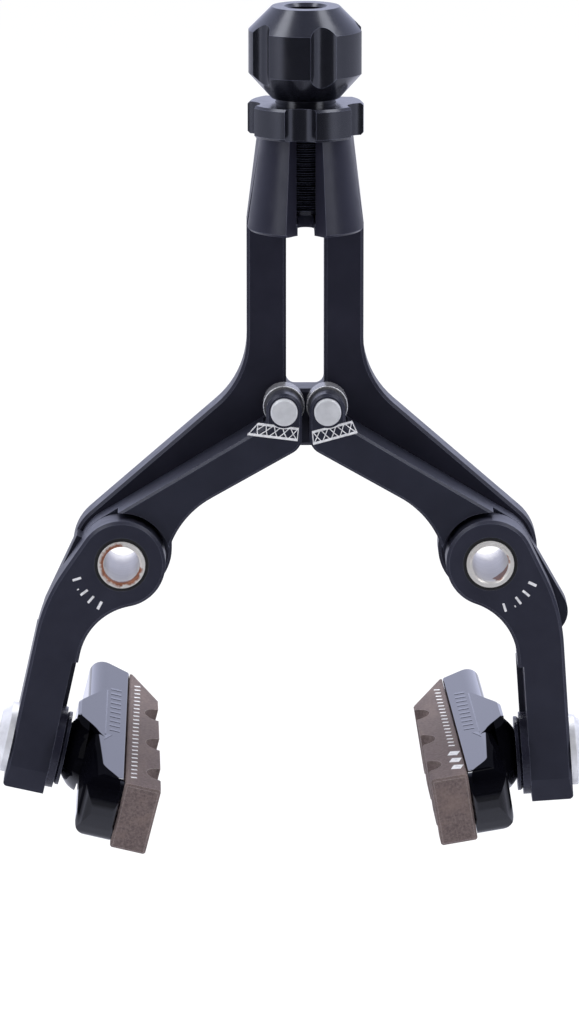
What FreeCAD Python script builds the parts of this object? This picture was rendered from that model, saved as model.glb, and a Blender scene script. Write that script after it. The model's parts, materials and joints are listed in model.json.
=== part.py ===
import FreeCAD, Part
import math
import os

# A centre-pull caliper brake for the two-bolt direct mount.
# Lengths are millimetres and angles are degrees.
# X points to the right seen from the front, Y to the rear, Z up towards the cable.
# The origin lies midway between the two mounting bores, on the rear mounting plane.

# Mounting and pivots
pivot_spacing = 62.0
mount_bore_diameter = 6.2
sleeve_diameter = 8.0
sleeve_mouth_chamfer = 0.3
bush_wall = 0.55

# Clearances
running_clearance = 0.04
thread_clearance = 0.08
assembly_gap = 0.3
seat_gap = 0.1

# Layers along Y, from the mounting plane to the front
eye_boss_height = 2.3
frame_thickness = 6.4
eye_thickness = 5.0
link_thickness = 9.5
arm_thickness = 6.7
leg_depth = 11.4
sleeve_stand_out = 0.3

# Frame
frame_eye_radius = 8.4
eye_boss_radius = 6.6
leg_outer = 9.85
leg_inner = 3.2
shoulder_slope = 41.0
shoulder_bend = 15.0
web_top = 27.6
web_bottom = 17.8
web_half_width = 4.0
haunch_slope = 35.0
window_corner = 1.5
haunch_corner = 2.0
frame_chamfer = 0.5

# Cable head on top of the frame
head_base = 56.0
head_height = 16.0
head_base_radius = 9.75
head_top_radius = 7.45
head_floor = 2.0
head_chamfer = 0.4
back_half_width_top = 7.95
back_rake = 4.2
groove_half_top = 3.25
groove_half_bottom = 4.15
groove_depth = 2.6
groove_flare = 0.4
slot_width = 3.2
cable_notch = 2.8

# Barrel adjuster
stem_diameter = 10.0
stem_end_gap = 1.0
stem_chamfer = 0.8
thread_pitch = 0.8
thread_depth = 0.4
knob_radius = 9.55
knob_foot_radius = 5.75
knob_neck = 0.8
knob_lower_cone = 4.2
knob_band = 7.2
knob_upper_cone = 3.9
knob_crown_radius = 5.7
knob_mouth_radius = 3.65
housing_bore_diameter = 6.2
housing_bore_depth = 24.0
cable_hole_diameter = 2.4
flute_count = 5
flute_radius = 2.8
flute_depth = 1.4
flute_first = 18.0

# Lock ring
ring_radius = 9.7
ring_thickness = 5.4
ring_chamfer = 0.4
scallop_count = 5
scallop_radius = 3.0
scallop_depth = 1.9
scallop_first = -6.0

# Cam link
link_eye_radius = 7.4
link_top_taper = 12.2
link_low_taper = 13.7
link_low_offset = 1.95
link_blend = 15.5
link_heel_radius = 3.0
link_nook_radius = 1.2
roller_half_spacing = 3.65
roller_height = 25.7
ear_radius = 3.0
ear_thickness = 4.2
rear_ear_thickness = 1.0
roller_radius = 3.45
roller_side_gap = 0.25
fork_clearance = 1.0
pin_diameter = 4.5
pin_stand_out = 1.3
pin_edge = 0.2
pin_sunk = 0.1
tail_reach = 13.5
tail_angle = 226.7
tail_end_radius = 4.2
link_chamfer = 0.4

# Pad arm
boss_radius = 7.4
boss_moat = 0.9
arm_shoulder_angle = 22.0
arm_shoulder_bend = 30.0
arm_outer = 11.55
arm_inner = 3.55
arm_length = 41.8
arm_neck = 10.5
arm_corner = 0.7
arm_chamfer = 0.5
foot_bevel_height = 3.8
foot_bevel_depth = 0.55
seat_pocket_depth = 1.0
seat_pocket_top = 18.2
seat_rear_wall = 2.0
middle_lean = 7.5

# Arm clamp screw in the tail of the link
clamp_reach = 11.5
clamp_angle = 229.5
clamp_screw_diameter = 4.0
clamp_head_diameter = 6.2
clamp_head_height = 2.2
clamp_slot_travel = 1.8
clamp_grip = 4.6
clamp_hole_depth = 5.0
clamp_head_chamfer = 0.6

# Return spring
spring_wire = 1.0
spring_radius = 5.1
spring_turns = 2.5
spring_pitch = 1.12
spring_pocket_radius = 6.1
spring_tang = 1.8
spring_start = 200.0
spring_front_gap = 0.15
spring_rear_gap = 0.1
tang_clearance = 0.2
tang_end_gap = 0.3

# Brake shoe and its fastening
post_from_end = 7.3
post_diameter = 6.0
post_clearance = 0.2
post_slot_above = 3.0
post_slot_below = 1.0
nut_diameter = 12.0
nut_edge = 1.0
nut_bevel = 1.6
nut_height = 2.4
nut_socket = 5.0
nut_socket_depth = 1.6
washer_diameter = 14.0
washer_thickness = 1.3
dish_diameter = 12.6
dish_thickness = 0.9
dish_seat_radius = 8.0
dish_gap = 0.05
dish_chamfer = 0.4
ball_centre_depth = 9.0
ball_radius = 3.0
post_neck_diameter = 4.4
throat_flare = 2.2
throat_depth = 10.0
holder_front = 25.2
holder_rear = 31.4
holder_height = 11.2
holder_thickness = 6.5
holder_back_edge = 3.0
holder_face_edge = 0.4
holder_end_slant = 1.7
holder_end_flat = 2.0
holder_end_round = 6.0
holder_end_corner = 2.2
holder_end_face_corner = 0.8
saddle_stand_out = 2.0
saddle_depth = 3.2
saddle_middle = 6.0
saddle_half_length = 3.6
saddle_slope = 62.0
saddle_corner = 3.0
saddle_edge = 0.5
holder_back_offset = 3.9
holder_end_slope = 36.0
pad_end_slope = 65.0
channel_height = 7.6
channel_depth = 2.4
channel_lip_height = 6.2
channel_lip_depth = 1.0
channel_front = 20.5
tongue_from_end = 1.5
slide_gap = 0.1
pad_height = 11.8
pad_front = 25.0
pad_edge = 0.5
pad_end_chamfer = 0.4
pad_groove_count = 3
pad_groove_radius = 2.6
pad_groove_depth = 2.4
pad_groove_first = 9.2
pad_groove_pitch = -13.4
keeper_diameter = 2.5
keeper_from_end = 6.0
keeper_sunk = 0.4
keeper_reach = 2.0
keeper_end_gap = 0.2

# How each side is set and worn: lean of the pad arm, pitch, toe and roll of the shoe,
# thickness of the pad at its front end and how much thinner it is worn at the rear,
# and the radius about the pivot that the outer side of the link's tail touches
left_side = {"lean": 12.5, "pitch": 7.2, "toe": -1.5, "roll": 1.4, "pad": 6.1, "taper": 1.5, "tail": 8.4}
right_side = {"lean": 3.9, "pitch": 5.0, "toe": 2.3, "roll": 5.2, "pad": 6.2, "taper": 0.3, "tail": 7.4}

# Derived places
pivot_x = pivot_spacing / 2
sleeve_radius = sleeve_diameter / 2
bush_radius = sleeve_radius + running_clearance + bush_wall
frame_rear = -eye_boss_height
frame_front = frame_rear - frame_thickness
link_rear = frame_front - assembly_gap
eye_front = link_rear - eye_thickness
link_front = link_rear - link_thickness
arm_rear = eye_front - assembly_gap
arm_front = arm_rear - arm_thickness
leg_rear = arm_front + leg_depth
post_y = arm_front + leg_depth / 2
sleeve_front = arm_front - sleeve_stand_out
cable_y = (link_front + link_rear) / 2
head_top = head_base + head_height
ring_bottom = head_top + seat_gap
ring_top = ring_bottom + ring_thickness
knob_bottom = ring_top + knob_neck
band_bottom = knob_bottom + knob_lower_cone
band_top = band_bottom + knob_band
knob_top = band_top + knob_upper_cone
stem_radius = stem_diameter / 2
stem_bottom = head_base + head_floor + stem_end_gap
pin_radius = pin_diameter / 2
wire_radius = spring_wire / 2
spring_height = spring_pitch * spring_turns
spring_front = frame_front + wire_radius + spring_front_gap
spring_rear = spring_front + spring_height + wire_radius + spring_rear_gap
roller_x = pivot_x - roller_half_spacing
link_axis = math.degrees(math.atan2(roller_height, roller_x))
link_top_slope = link_axis - link_top_taper
link_low_slope = link_axis - link_low_taper
post_below_pivot = arm_length - post_from_end


def vec(x, y, z):
    return FreeCAD.Vector(x, y, z)


def cos(angle):
    return math.cos(math.radians(angle))


def sin(angle):
    return math.sin(math.radians(angle))


# A closed wire in the plane Y = y through corners (x, z, rounding radius).
def outline(corners, y):
    entries = []
    middles = []
    exits = []
    for index, (x, z, radius) in enumerate(corners):
        before = corners[index - 1]
        after = corners[(index + 1) % len(corners)]
        here = vec(x, y, z)
        back = (vec(before[0], y, before[1]) - here).normalize()
        ahead = (vec(after[0], y, after[1]) - here).normalize()
        if radius == 0:
            entries.append(here)
            middles.append(None)
            exits.append(here)
            continue
        half = back.getAngle(ahead) / 2
        inward = (back + ahead).normalize()
        entries.append(here + back * (radius / math.tan(half)))
        middles.append(here + inward * (radius / math.sin(half) - radius))
        exits.append(here + ahead * (radius / math.tan(half)))
    edges = []
    for index in range(len(corners)):
        if middles[index] is not None:
            edges.append(Part.Arc(entries[index], middles[index], exits[index]).toShape())
        following = entries[(index + 1) % len(corners)]
        if (following - exits[index]).Length > 1e-6:
            edges.append(Part.LineSegment(exits[index], following).toShape())
    return Part.Wire(edges)


def slab(corners, y_front, y_rear):
    return Part.Face(outline(corners, y_front)).extrude(vec(0, y_rear - y_front, 0))


def disc(x, z, radius, y_front, y_rear):
    return Part.makeCylinder(radius, y_rear - y_front, vec(x, y_front, z), vec(0, 1, 0))


def block(x_from, x_to, y_from, y_to, z_from, z_to):
    return Part.makeBox(x_to - x_from, y_to - y_from, z_to - z_from, vec(x_from, y_from, z_from))


# A solid turned about the vertical cable axis from (radius, height) points.
def turned(points):
    corners = [vec(radius, cable_y, height) for radius, height in points]
    face = Part.Face(Part.makePolygon(corners + corners[:1]))
    return face.revolve(vec(0, cable_y, 0), vec(0, 0, 1), 360)


# A solid turned about the X axis from (radius, x) points.
def turned_on_x(points):
    corners = [vec(x, radius, 0) for radius, x in points]
    face = Part.Face(Part.makePolygon(corners + corners[:1]))
    return face.revolve(vec(0, 0, 0), vec(1, 0, 0), 360)


# A ball about the origin with its poles on the X axis.
def ball_on_x(radius):
    return Part.makeSphere(radius, vec(0, 0, 0), vec(1, 0, 0))


def hexagon_on_x(across_flats, x_from, x_to):
    radius = across_flats / 2 / cos(30)
    corners = [vec(x_from, radius * cos(60 * step), radius * sin(60 * step)) for step in range(6)]
    face = Part.Face(Part.makePolygon(corners + corners[:1]))
    return face.extrude(vec(x_to - x_from, 0, 0))


# Chamfers every edge that lies in the plane Y = y.
def ease_plane(shape, y, size):
    edges = []
    for edge in shape.Edges:
        if all(abs(vertex.Y - y) < 1e-4 for vertex in edge.Vertexes):
            box = edge.BoundBox
            if box.YLength < 1e-4:
                edges.append(edge)
    return shape.makeChamfer(size, edges)


# Where a round blend between a straight edge and a circle about the origin meets them.
# The edge is the line normal . p = offset, and the blend lies on the side of its normal.
def blend(normal_angle, offset, circle_radius, blend_radius, sign):
    normal = vec(cos(normal_angle), 0, sin(normal_angle))
    along = vec(-normal.z, 0, normal.x)
    reach = circle_radius + blend_radius
    depth = offset + blend_radius
    centre = normal * depth + along * (sign * math.sqrt(reach ** 2 - depth ** 2))
    touch = centre * (circle_radius / reach)
    slide = (circle_radius ** 2 - offset * touch.dot(normal)) / touch.dot(along)
    corner = normal * offset + along * slide
    return touch, corner


def at_left_pivot(shape):
    return shape.translated(vec(-pivot_x, 0, 0))


def to_right(shape):
    return shape.mirror(vec(0, 0, 0), vec(1, 0, 0))


# Frame

def frame_plate():
    shoulder_normal = vec(-sin(shoulder_slope), 0, cos(shoulder_slope))
    touch = shoulder_normal * frame_eye_radius
    shoulder_z = touch.z + (pivot_x - touch.x - leg_outer) * math.tan(math.radians(shoulder_slope))
    haunch_run = pivot_x - web_half_width
    haunch_z = web_bottom - haunch_run * math.tan(math.radians(haunch_slope))
    half = [
        (0, head_base, 0),
        (0, web_bottom, 0),
        (-web_half_width, web_bottom, haunch_corner),
        (-web_half_width - haunch_run, haunch_z, 0),
        (-pivot_x, 0, 0),
        (-pivot_x + touch.x, touch.z, 0),
        (-leg_outer, shoulder_z, shoulder_bend),
        (-leg_outer, head_base, 0),
    ]
    left = slab(half, frame_front, frame_rear)
    left = left.fuse(disc(-pivot_x, 0, frame_eye_radius, frame_front, frame_rear))
    plate = left.fuse(to_right(left)).removeSplitter()
    window = [
        (-leg_inner, web_top, window_corner),
        (leg_inner, web_top, window_corner),
        (leg_inner, head_base + 1, 0),
        (-leg_inner, head_base + 1, 0),
    ]
    return plate.cut(slab(window, frame_front - 1, frame_rear + 1))


# The tapered back of the head, where the two legs run up into it.
def head_back():
    low = [vec(-leg_outer, frame_front, head_base), vec(leg_outer, frame_front, head_base),
           vec(leg_outer, frame_rear, head_base), vec(-leg_outer, frame_rear, head_base)]
    rise_front = cable_y
    rise_rear = frame_rear - back_rake
    high = [vec(-head_top_radius, rise_front, head_top), vec(head_top_radius, rise_front, head_top),
            vec(back_half_width_top, rise_rear, head_top), vec(-back_half_width_top, rise_rear, head_top)]
    sections = [Part.makePolygon(low + low[:1]), Part.makePolygon(high + high[:1])]
    return Part.makeLoft(sections, True, True)


# The round-edged groove down the front of the head, deeper than the cone by a set amount.
def head_groove():
    sections = []
    for z, cone_radius, half in (
        (head_base - 1, head_base_radius, groove_half_bottom),
        (head_top + 1, head_top_radius, groove_half_top),
    ):
        front = cable_y - cone_radius - 1
        floor = cable_y - cone_radius + groove_depth
        mouth = half + groove_flare
        corners = [vec(-mouth, front, z), vec(mouth, front, z),
                   vec(slot_width / 2, floor, z), vec(-slot_width / 2, floor, z)]
        sections.append(Part.makePolygon(corners + corners[:1]))
    return Part.makeLoft(sections, True, True)


def cable_head():
    cone = turned([
        (0, head_base), (head_base_radius - head_chamfer, head_base),
        (head_base_radius, head_base + head_chamfer), (head_top_radius, head_top), (0, head_top),
    ])
    head = cone.fuse(head_back())
    bore_radius = stem_radius + thread_clearance
    bore = Part.makeCylinder(bore_radius, head_height, vec(0, cable_y, head_base + head_floor), vec(0, 0, 1))
    slot = block(-slot_width / 2, slot_width / 2, cable_y - head_base_radius - 1, cable_y,
                 head_base + head_floor, head_top + 1)
    notch_half = cable_notch / 2
    notch = block(-notch_half, notch_half, cable_y - head_base_radius - 1, cable_y,
                  head_base - 1, head_top)
    notch_end = Part.makeCylinder(notch_half, head_height, vec(0, cable_y, head_base - 1), vec(0, 0, 1))
    return head.cut(head_groove()).cut(bore).cut(slot).cut(notch).cut(notch_end)


def frame_eye_cuts():
    sleeve_hole = disc(0, 0, sleeve_radius, frame_front - 1, 1)
    pocket = disc(0, 0, spring_pocket_radius, frame_front - 1, spring_rear)
    tang_x, tang_z = spring_end(0)
    tang_end = spring_rear + spring_tang + tang_end_gap
    tang_hole = disc(tang_x, tang_z, wire_radius + tang_clearance, spring_rear - 1, tang_end)
    return at_left_pivot(sleeve_hole.fuse(pocket).fuse(tang_hole))


def stirrup_frame():
    plate = frame_plate()
    plate = ease_plane(plate, frame_front, frame_chamfer)
    plate = ease_plane(plate, frame_rear, frame_chamfer)
    rear_boss = at_left_pivot(disc(0, 0, eye_boss_radius, frame_rear - 1, 0))
    body = plate.fuse(cable_head()).fuse(rear_boss).fuse(to_right(rear_boss))
    cuts = frame_eye_cuts()
    return body.cut(cuts).cut(to_right(cuts)).removeSplitter()


def pivot_sleeve():
    bore = mount_bore_diameter / 2
    tube = disc(0, 0, sleeve_radius, sleeve_front, 0).cut(disc(0, 0, bore, sleeve_front - 1, 1))
    wide = bore + sleeve_mouth_chamfer
    mouth = Part.makeCone(wide, bore, sleeve_mouth_chamfer, vec(0, sleeve_front, 0), vec(0, 1, 0))
    return at_left_pivot(tube.cut(mouth))


def bush(y_front, y_rear):
    ring = disc(0, 0, bush_radius, y_front, y_rear)
    return at_left_pivot(ring.cut(disc(0, 0, sleeve_radius + running_clearance, y_front - 1, y_rear + 1)))


# Return spring: a close coil in the pocket of the frame's eye, with a tang at each end.

def spring_end(turns):
    angle = 360 * turns + spring_start
    return spring_radius * cos(angle), spring_radius * sin(angle)


def return_spring(mirrored):
    coil_path = Part.makeHelix(spring_pitch, spring_height, spring_radius)
    profile = Part.Wire(Part.makeCircle(wire_radius, vec(spring_radius, 0, 0), vec(0, 1, 0)))
    coil = Part.Wire(coil_path).makePipeShell([profile], True, True)
    coil.rotate(vec(0, 0, 0), vec(1, 0, 0), 90)
    coil.translate(vec(0, spring_front + spring_height, 0))
    coil.rotate(vec(0, 0, 0), vec(0, 1, 0), -spring_start)
    rear_x, rear_z = spring_end(0)
    front_x, front_z = spring_end(-spring_turns)
    sunk = 0.1
    coil_end = spring_front + spring_height
    rear_tang = disc(rear_x, rear_z, wire_radius, coil_end - sunk, spring_rear + spring_tang)
    front_tang = disc(front_x, front_z, wire_radius, link_rear - spring_tang, spring_front + sunk)
    stages = [at_left_pivot(piece) for piece in (coil, rear_tang, front_tang)]
    if mirrored:
        stages = [to_right(piece) for piece in stages]
    return stages[0].fuse(stages[1]).fuse(stages[2])


# Cam link

def link_outline():
    top_normal = vec(-sin(link_top_slope), 0, cos(link_top_slope))
    top_touch = top_normal * link_eye_radius
    ear_left = roller_x - ear_radius
    ear_right = roller_x + ear_radius
    nook_z = (link_eye_radius + sin(link_top_slope) * ear_left) / cos(link_top_slope)
    heel_z = (link_low_offset + sin(link_low_slope) * ear_right) / cos(link_low_slope)
    touch, corner = blend(link_low_slope - 90, -link_low_offset, link_eye_radius, link_blend, 1)
    return [
        (0, 0, 0),
        (touch.x, touch.z, 0),
        (corner.x, corner.z, link_blend),
        (ear_right, heel_z, link_heel_radius),
        (ear_right, roller_height, 0),
        (ear_left, roller_height, 0),
        (ear_left, nook_z, link_nook_radius),
        (top_touch.x, top_touch.z, 0),
    ]


# The tail runs from the eye to a rounded end, its outer side on the line that touches
# the end and a circle of the given radius about the pivot.
def link_tail(radius):
    spread = math.degrees(math.acos((radius - tail_end_radius) / tail_reach))
    outer = tail_angle - spread
    inner = tail_angle + 90
    end_x = tail_reach * cos(tail_angle)
    end_z = tail_reach * sin(tail_angle)
    corners = [
        (0, 0, 0),
        (radius * cos(outer), radius * sin(outer), 0),
        (end_x + tail_end_radius * cos(outer), end_z + tail_end_radius * sin(outer), 0),
        (end_x, end_z, 0),
        (end_x + tail_end_radius * cos(inner), end_z + tail_end_radius * sin(inner), 0),
        (tail_end_radius * cos(inner), tail_end_radius * sin(inner), 0),
    ]
    bar = slab(corners, eye_front, link_rear)
    return bar.fuse(disc(end_x, end_z, tail_end_radius, eye_front, link_rear))


def clamp_place(lean):
    angle = clamp_angle - (lean - middle_lean)
    return clamp_reach * cos(angle), clamp_reach * sin(angle)


# The curved slot that lets the pad arm be set at different leans.
def clamp_slot():
    radius = clamp_screw_diameter / 2 + tang_clearance
    half = math.degrees(clamp_slot_travel / 2 / clamp_reach)
    pieces = []
    for angle in (clamp_angle - half, clamp_angle, clamp_angle + half):
        x = clamp_reach * cos(angle)
        z = clamp_reach * sin(angle)
        pieces.append(disc(x, z, radius, eye_front - 1, link_rear + 1))
    return pieces[0].fuse(pieces[1]).fuse(pieces[2])


def cam_link(side):
    bar = slab(link_outline(), link_front, link_rear)
    bar = bar.fuse(disc(roller_x, roller_height, ear_radius, link_front, link_rear)).removeSplitter()
    moat = disc(0, 0, boss_radius + boss_moat, link_front - 1, eye_front)
    bar = ease_plane(bar, link_front, link_chamfer).cut(moat)
    eye = disc(0, 0, link_eye_radius, eye_front, link_rear)
    body = bar.fuse(eye).fuse(link_tail(side["tail"])).removeSplitter()
    fork = disc(roller_x, roller_height, roller_radius + fork_clearance,
                link_front + ear_thickness, link_rear - rear_ear_thickness)
    pin_hole = disc(roller_x, roller_height, pin_radius, link_front - 1, link_rear + 1)
    bush_hole = disc(0, 0, bush_radius, eye_front - 1, link_rear + 1)
    tang_x, tang_z = spring_end(-spring_turns)
    tang_end = link_rear - spring_tang - tang_end_gap
    tang_hole = disc(tang_x, tang_z, wire_radius + tang_clearance, tang_end, link_rear + 1)
    body = body.cut(fork).cut(pin_hole).cut(bush_hole).cut(tang_hole).cut(clamp_slot())
    return at_left_pivot(body)


def cam_roller():
    front = link_front + ear_thickness + roller_side_gap
    rear = link_rear - rear_ear_thickness - roller_side_gap
    roller = disc(roller_x, roller_height, roller_radius, front, rear)
    hole = disc(roller_x, roller_height, pin_radius + running_clearance, front - 1, rear + 1)
    return at_left_pivot(roller.cut(hole))


def roller_pin():
    front = link_front - pin_stand_out
    pin = disc(roller_x, roller_height, pin_radius, front, link_rear - pin_sunk)
    return at_left_pivot(ease_plane(pin, front, pin_edge))


# Pad arm, drawn with its leg upright and then leaned about the pivot

def leaned(shape, lean):
    return at_left_pivot(shape.rotated(vec(0, 0, 0), vec(0, 1, 0), lean))


def arm_outline():
    shoulder = (-boss_radius * cos(arm_shoulder_angle), boss_radius * sin(arm_shoulder_angle))
    bend_z = (boss_radius - cos(arm_shoulder_angle) * arm_outer) / sin(arm_shoulder_angle)
    touch, corner = blend(0, -arm_inner, boss_radius, arm_neck, -1)
    return [
        (0, 0, 0),
        (shoulder[0], shoulder[1], 0),
        (-arm_outer, bend_z, arm_shoulder_bend),
        (-arm_outer, -arm_length, arm_corner),
        (-arm_inner, -arm_length, arm_corner),
        (corner.x, corner.z, arm_neck),
        (touch.x, touch.z, 0),
    ]


# The upright slot through the leg in which the post of the shoe is set up or down.
def post_slot():
    radius = post_diameter / 2 + post_clearance
    high = post_slot_above - post_below_pivot
    low = -post_slot_below - post_below_pivot
    x_from = -arm_outer - 1
    length = arm_outer - arm_inner + 2
    slot = block(x_from, x_from + length, post_y - radius, post_y + radius, low, high)
    for z in (low, high):
        slot = slot.fuse(Part.makeCylinder(radius, length, vec(x_from, post_y, z), vec(1, 0, 0)))
    return slot


def pad_arm(lean):
    plate = slab(arm_outline(), arm_front, leg_rear)
    plate = plate.fuse(disc(0, 0, boss_radius, arm_front, leg_rear)).removeSplitter()
    plate = ease_plane(plate, arm_front, arm_chamfer)
    plate = ease_plane(plate, leg_rear, arm_chamfer)
    relief = disc(0, 0, tail_reach + tail_end_radius + 1, arm_rear, leg_rear + 1)
    bush_hole = disc(0, 0, bush_radius, arm_front - 1, arm_rear + 1)
    pocket = slab([
        (-arm_inner - seat_pocket_depth, -seat_pocket_top, 0),
        (-arm_inner - seat_pocket_depth, -arm_length - 5, 0),
        (-arm_inner + 5, -arm_length - 5, 0),
        (-arm_inner + 5, -seat_pocket_top, 0),
    ], arm_front - 1, leg_rear - seat_rear_wall)
    foot = slab([
        (arm_front, foot_bevel_height - arm_length, 0), (arm_front - 1, foot_bevel_height - arm_length, 0),
        (arm_front - 1, -arm_length - 1, 0), (arm_front + foot_bevel_depth, -arm_length - 1, 0),
        (arm_front + foot_bevel_depth, -arm_length, 0),
    ], 0, 2 * arm_outer).rotated(vec(0, 0, 0), vec(0, 0, 1), 90)
    clamp_x, clamp_z = clamp_place(lean)
    clamp_bottom = arm_rear - clamp_hole_depth
    clamp_hole = disc(clamp_x, clamp_z, clamp_screw_diameter / 2, clamp_bottom, arm_rear + 1)
    clamp_hole = clamp_hole.rotated(vec(0, 0, 0), vec(0, 1, 0), -lean)
    seat_radius = washer_diameter / 2 + post_clearance
    seat_foot = vec(seat_x(), post_y, -post_below_pivot)
    seat = Part.makeCylinder(seat_radius, seat_pocket_depth + 1, seat_foot, vec(1, 0, 0))
    body = plate.cut(relief).cut(bush_hole).cut(pocket).cut(foot)
    body = body.cut(post_slot()).cut(seat).cut(clamp_hole)
    return leaned(body, lean)


def arm_clamp_screw(lean):
    x, z = clamp_place(lean)
    head = disc(x, z, clamp_head_diameter / 2, link_rear, link_rear + clamp_head_height)
    head = ease_plane(head, link_rear + clamp_head_height, clamp_head_chamfer)
    shank = disc(x, z, clamp_screw_diameter / 2, arm_rear - clamp_grip, link_rear + 0.5)
    return at_left_pivot(head.fuse(shank).removeSplitter())


# Fastening of the shoe, drawn along X with the ball's centre at the origin

def seat_x():
    return -(arm_inner + seat_pocket_depth)


def ball_x():
    return seat_x() + ball_centre_depth


def on_post(shape, lean):
    return leaned(shape.translated(vec(ball_x(), post_y, -post_below_pivot)), lean)


def shoe_nut(lean):
    x_seat = -arm_outer - ball_x()
    x_top = x_seat - nut_height
    edge = nut_diameter / 2
    dome = turned_on_x([
        (0, x_seat), (edge, x_seat), (edge, x_seat - nut_edge), (edge - nut_bevel, x_top), (0, x_top),
    ])
    depth = nut_height - nut_socket_depth
    hole = Part.makeCylinder(post_diameter / 2, depth, vec(x_seat, 0, 0), vec(-1, 0, 0))
    socket = hexagon_on_x(nut_socket, x_top - 1, x_top + nut_socket_depth)
    return on_post(dome.cut(hole).cut(socket), lean)


def shoe_post(lean):
    x_end = -arm_outer - ball_x() - (nut_height - nut_socket_depth) + seat_gap
    x_neck = -dish_seat_radius
    shank = Part.makeCylinder(post_diameter / 2, x_neck - x_end, vec(x_end, 0, 0), vec(1, 0, 0))
    neck = Part.makeCylinder(post_neck_diameter / 2, -x_neck, vec(x_neck, 0, 0), vec(1, 0, 0))
    return on_post(shank.fuse(neck).fuse(ball_on_x(ball_radius)).removeSplitter(), lean)


def flat_washer(lean):
    x_from = seat_x() - ball_x()
    foot = vec(x_from, 0, 0)
    ring = Part.makeCylinder(washer_diameter / 2, washer_thickness, foot, vec(1, 0, 0))
    hole_radius = post_diameter / 2 + post_clearance
    hole = Part.makeCylinder(hole_radius, washer_thickness, foot, vec(1, 0, 0))
    return on_post(ring.cut(hole), lean)


def dished_washer(lean):
    x_from = seat_x() - ball_x() + washer_thickness
    edge = dish_diameter / 2
    x_rim = x_from + dish_thickness
    ring = turned_on_x([
        (0, x_from), (edge - dish_chamfer, x_from), (edge, x_from + dish_chamfer),
        (edge, x_rim), (0, x_rim),
    ])
    hole = Part.makeCylinder(post_diameter / 2 + post_clearance, 20, vec(x_from - 1, 0, 0), vec(1, 0, 0))
    return on_post(ring.cut(hole).cut(ball_on_x(dish_seat_radius + dish_gap)), lean)


# Shoe, drawn with its length along Y and the ball's centre at the origin

def shoe_placed(shape, side):
    turned_shape = shape.rotated(vec(0, 0, 0), vec(0, 0, 1), -side["toe"])
    turned_shape.rotate(vec(0, 0, 0), vec(1, 0, 0), side["pitch"])
    turned_shape.rotate(vec(0, 0, 0), vec(0, 1, 0), side["roll"])
    return on_post(turned_shape, side["lean"])


def holder_back_x():
    return -holder_back_offset


def holder_face_x():
    return holder_back_x() + holder_thickness


# What lies behind a slanted rear end that passes through the plan point (x, y).
def end_cut(x, y, slope):
    rise = math.tan(math.radians(slope))
    reach = 20
    corners = [vec(x - reach, y + rise * reach, -reach), vec(x - reach, y + 3 * reach, -reach),
               vec(x + reach, y + 3 * reach, -reach), vec(x + reach, y - rise * reach, -reach)]
    return Part.Face(Part.makePolygon(corners + corners[:1])).extrude(vec(0, 0, 2 * reach))


def holder_end_cut():
    return end_cut(holder_back_x(), holder_rear, holder_end_slope)


# Where the slanted rear end of the holder reaches its face.
def face_end():
    return holder_rear - holder_thickness * math.tan(math.radians(holder_end_slope))


def pad_end_cut():
    return end_cut(holder_face_x(), face_end(), pad_end_slope)


# The bell-shaped boss on the back of the holder, as tall as the holder.
def holder_saddle():
    outer = holder_back_x() - saddle_stand_out
    inner = holder_back_x() + saddle_depth
    wide = saddle_half_length + (inner - outer) * math.tan(math.radians(saddle_slope))
    half = holder_height / 2
    bell = slab([
        (outer, -saddle_half_length, saddle_corner), (outer, saddle_half_length, saddle_corner),
        (inner, wide, 0), (inner, -wide, 0),
    ], -half, half)
    for y in (-half, half):
        bell = ease_plane(bell, y, saddle_edge)
    return bell.rotated(vec(0, 0, 0), vec(1, 0, 0), 90).translated(vec(0, saddle_middle, 0))


# The holder seen from the side, with its rounded front end.
def holder_side_form():
    half = holder_height / 2
    middle = holder_end_flat
    slant = holder_end_slant - holder_front
    form = slab([
        (-holder_front, -middle, holder_end_round), (slant, -half, holder_end_corner),
        (holder_rear, -half, 0), (holder_rear, half, 0),
        (slant, half, holder_end_corner), (-holder_front, middle, holder_end_round),
    ], -holder_thickness, holder_thickness)
    return form.rotated(vec(0, 0, 0), vec(0, 0, 1), 90)


# The holder seen from above, with both corners of its front end rounded.
def holder_plan_form():
    back = holder_back_x()
    face = holder_face_x()
    form = slab([
        (back, -holder_rear, 0), (face, -holder_rear, 0),
        (face, holder_front, holder_end_face_corner), (back, holder_front, holder_end_corner),
    ], -holder_height, holder_height)
    return form.rotated(vec(0, 0, 0), vec(1, 0, 0), 90)


def keeper_place():
    return holder_face_x() - (channel_depth + channel_lip_depth) / 2, face_end() - keeper_from_end


def keeper_pin(bottom, top):
    x, y = keeper_place()
    return Part.makeCylinder(keeper_diameter / 2, top - bottom, vec(x, y, bottom), vec(0, 0, 1))


def shoe_holder(side):
    back = holder_back_x()
    face = holder_face_x()
    half = holder_height / 2
    body = slab([
        (back, -half, holder_back_edge), (back, half, holder_back_edge),
        (face, half, holder_face_edge), (face, -half, holder_face_edge),
    ], -holder_front, holder_rear)
    body = body.common(holder_side_form()).common(holder_plan_form()).cut(holder_end_cut())
    reach = dish_seat_radius + 1
    dome = ball_on_x(dish_seat_radius).common(block(-reach, back, -reach, reach, -half, half))
    lip_x = face - channel_lip_depth
    channel = block(face - channel_depth, lip_x, -channel_front, holder_rear,
                    -channel_height / 2, channel_height / 2)
    lip = block(lip_x - slide_gap, face + 1, -channel_front, holder_rear,
                -channel_lip_height / 2, channel_lip_height / 2)
    socket = ball_on_x(ball_radius + running_clearance)
    neck = post_neck_diameter / 2
    throat = Part.makeCone(neck, neck + throat_flare, throat_depth, vec(0, 0, 0), vec(-1, 0, 0))
    body = body.fuse(holder_saddle()).fuse(dome).cut(channel).cut(lip).cut(socket).cut(throat)
    return shoe_placed(body.cut(keeper_pin(-holder_height, 0)), side)


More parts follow.
